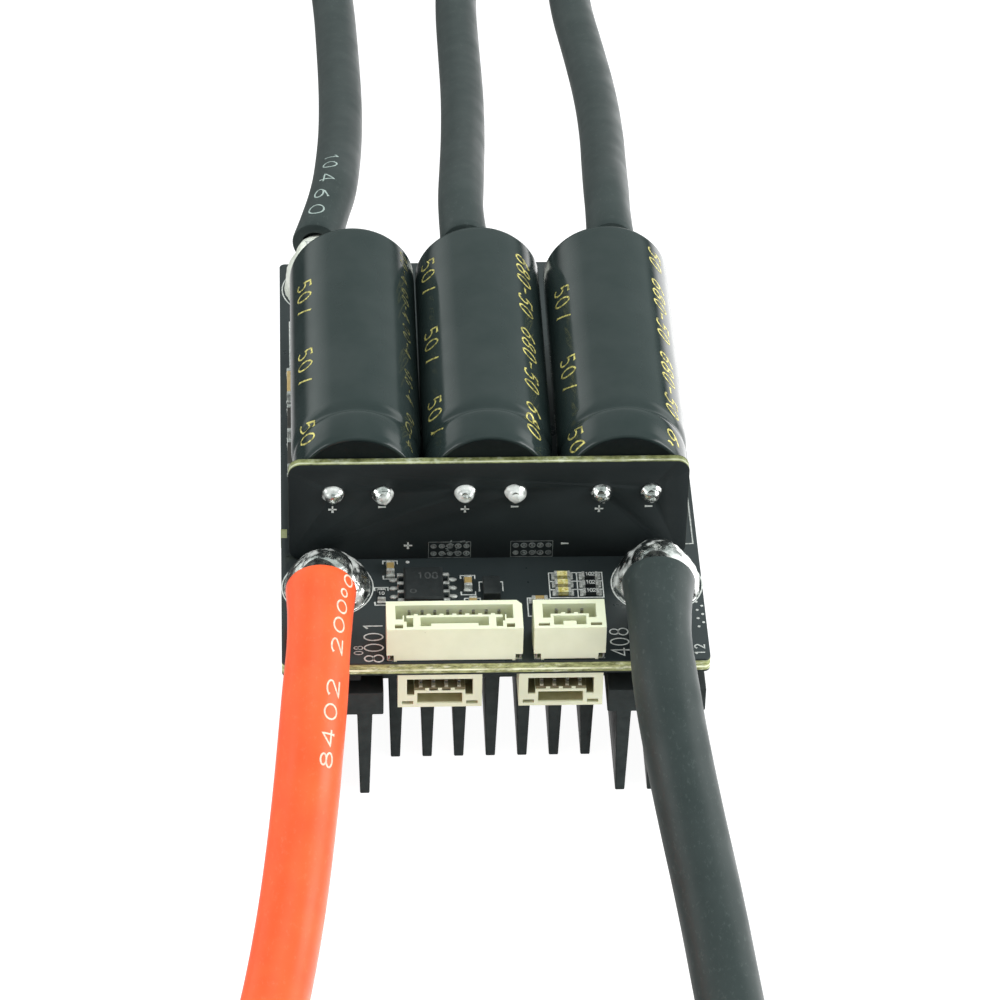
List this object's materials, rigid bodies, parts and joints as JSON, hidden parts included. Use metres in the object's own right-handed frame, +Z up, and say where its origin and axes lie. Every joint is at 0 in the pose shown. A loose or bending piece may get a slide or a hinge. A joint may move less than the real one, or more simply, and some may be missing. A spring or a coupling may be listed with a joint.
{
  "type": "electronic speed controller",
  "caption": "Brushless motor speed controller: black board on a finned heatsink, with three lying capacitors, locking wire headers, red and black supply leads and three motor leads.",
  "frame": {"origin": "on the plane of the fin tips, below the middle of the board, midway along it and across it", "axes": "+X across the board, towards the negative lead; +Y from the supply end to the motor end; +Z up, from the fins to the capacitors"},
  "size_m": [0.0634, 0.29, 0.0323],
  "materials": {
    "anodised_aluminium": "black anodised, satin",
    "pad_silicone": "soft matte",
    "board_laminate": "black solder mask, satin",
    "chip_resin": "moulded matte",
    "tinned_metal": "tinned",
    "ferrite": "pressed powder",
    "led_lens": "clear yellow",
    "ceramic": "fired ceramic",
    "header_nylon": "natural nylon, satin",
    "sleeve_film": "glossy shrink film",
    "bare_aluminium": "drawn",
    "bung_rubber": "matte",
    "foil_winding": "foil and paper",
    "solder": "bright solder",
    "red_silicone": "satin silicone",
    "black_silicone": "satin silicone",
    "gold_plate": "gold plated",
    "shrink_tube": "shrink tube"
  },
  "bodies": {
    "root": {"board_joints": "solder", "bullet_plug_left": "gold_plate", "bullet_plug_middle": "gold_plate", "bullet_plug_right": "gold_plate", "bus_capacitors": "ceramic", "can_header_left_housing": "header_nylon", "can_header_left_pins": "tinned_metal", "can_header_right_housing": "header_nylon", "can_header_right_pins": "tinned_metal", "capacitor_board": "board_laminate", "capacitor_bungs": "bung_rubber", "capacitor_can_left": "bare_aluminium", "capacitor_can_middle": "bare_aluminium", "capacitor_can_right": "bare_aluminium", "capacitor_lead_joints": "solder", "capacitor_leads": "tinned_metal", "capacitor_sleeve_left": "sleeve_film", "capacitor_sleeve_middle": "sleeve_film", "capacitor_sleeve_right": "sleeve_film", "capacitor_windings": "foil_winding", "chip_capacitors": "ceramic", "chip_resistors": "chip_resin", "comm_header_housing": "header_nylon", "comm_header_pins": "tinned_metal", "conductor_ends": "tinned_metal", "crystal": "tinned_metal", "diode": "chip_resin", "gate_driver": "chip_resin", "gate_driver_legs": "tinned_metal", "header_tabs": "tinned_metal", "heatsink": "anodised_aluminium", "main_board": "board_laminate", "microcontroller": "chip_resin", "microcontroller_legs": "tinned_metal", "mosfet_packages": "chip_resin", "mosfet_tabs": "tinned_metal", "negative_lead": "black_silicone", "negative_solder_joint": "solder", "negative_tinned_end": "solder", "phase_lead_left": "black_silicone", "phase_lead_middle": "black_silicone", "phase_lead_right": "black_silicone", "phase_solder_joints": "solder", "plug_sleeve_left": "shrink_tube", "plug_sleeve_middle": "shrink_tube", "plug_sleeve_right": "shrink_tube", "positive_lead": "red_silicone", "positive_solder_joint": "solder", "positive_tinned_end": "solder", "power_inductor": "ferrite", "ppm_header_housing": "header_nylon", "ppm_header_pins": "tinned_metal", "regulator": "chip_resin", "regulator_legs": "tinned_metal", "shunt_resistors": "chip_resin", "status_leds": "led_lens", "surge_suppressor": "chip_resin", "thermal_pad": "pad_silicone", "transceiver": "chip_resin", "transceiver_legs": "tinned_metal"}
  },
  "joints": []
}
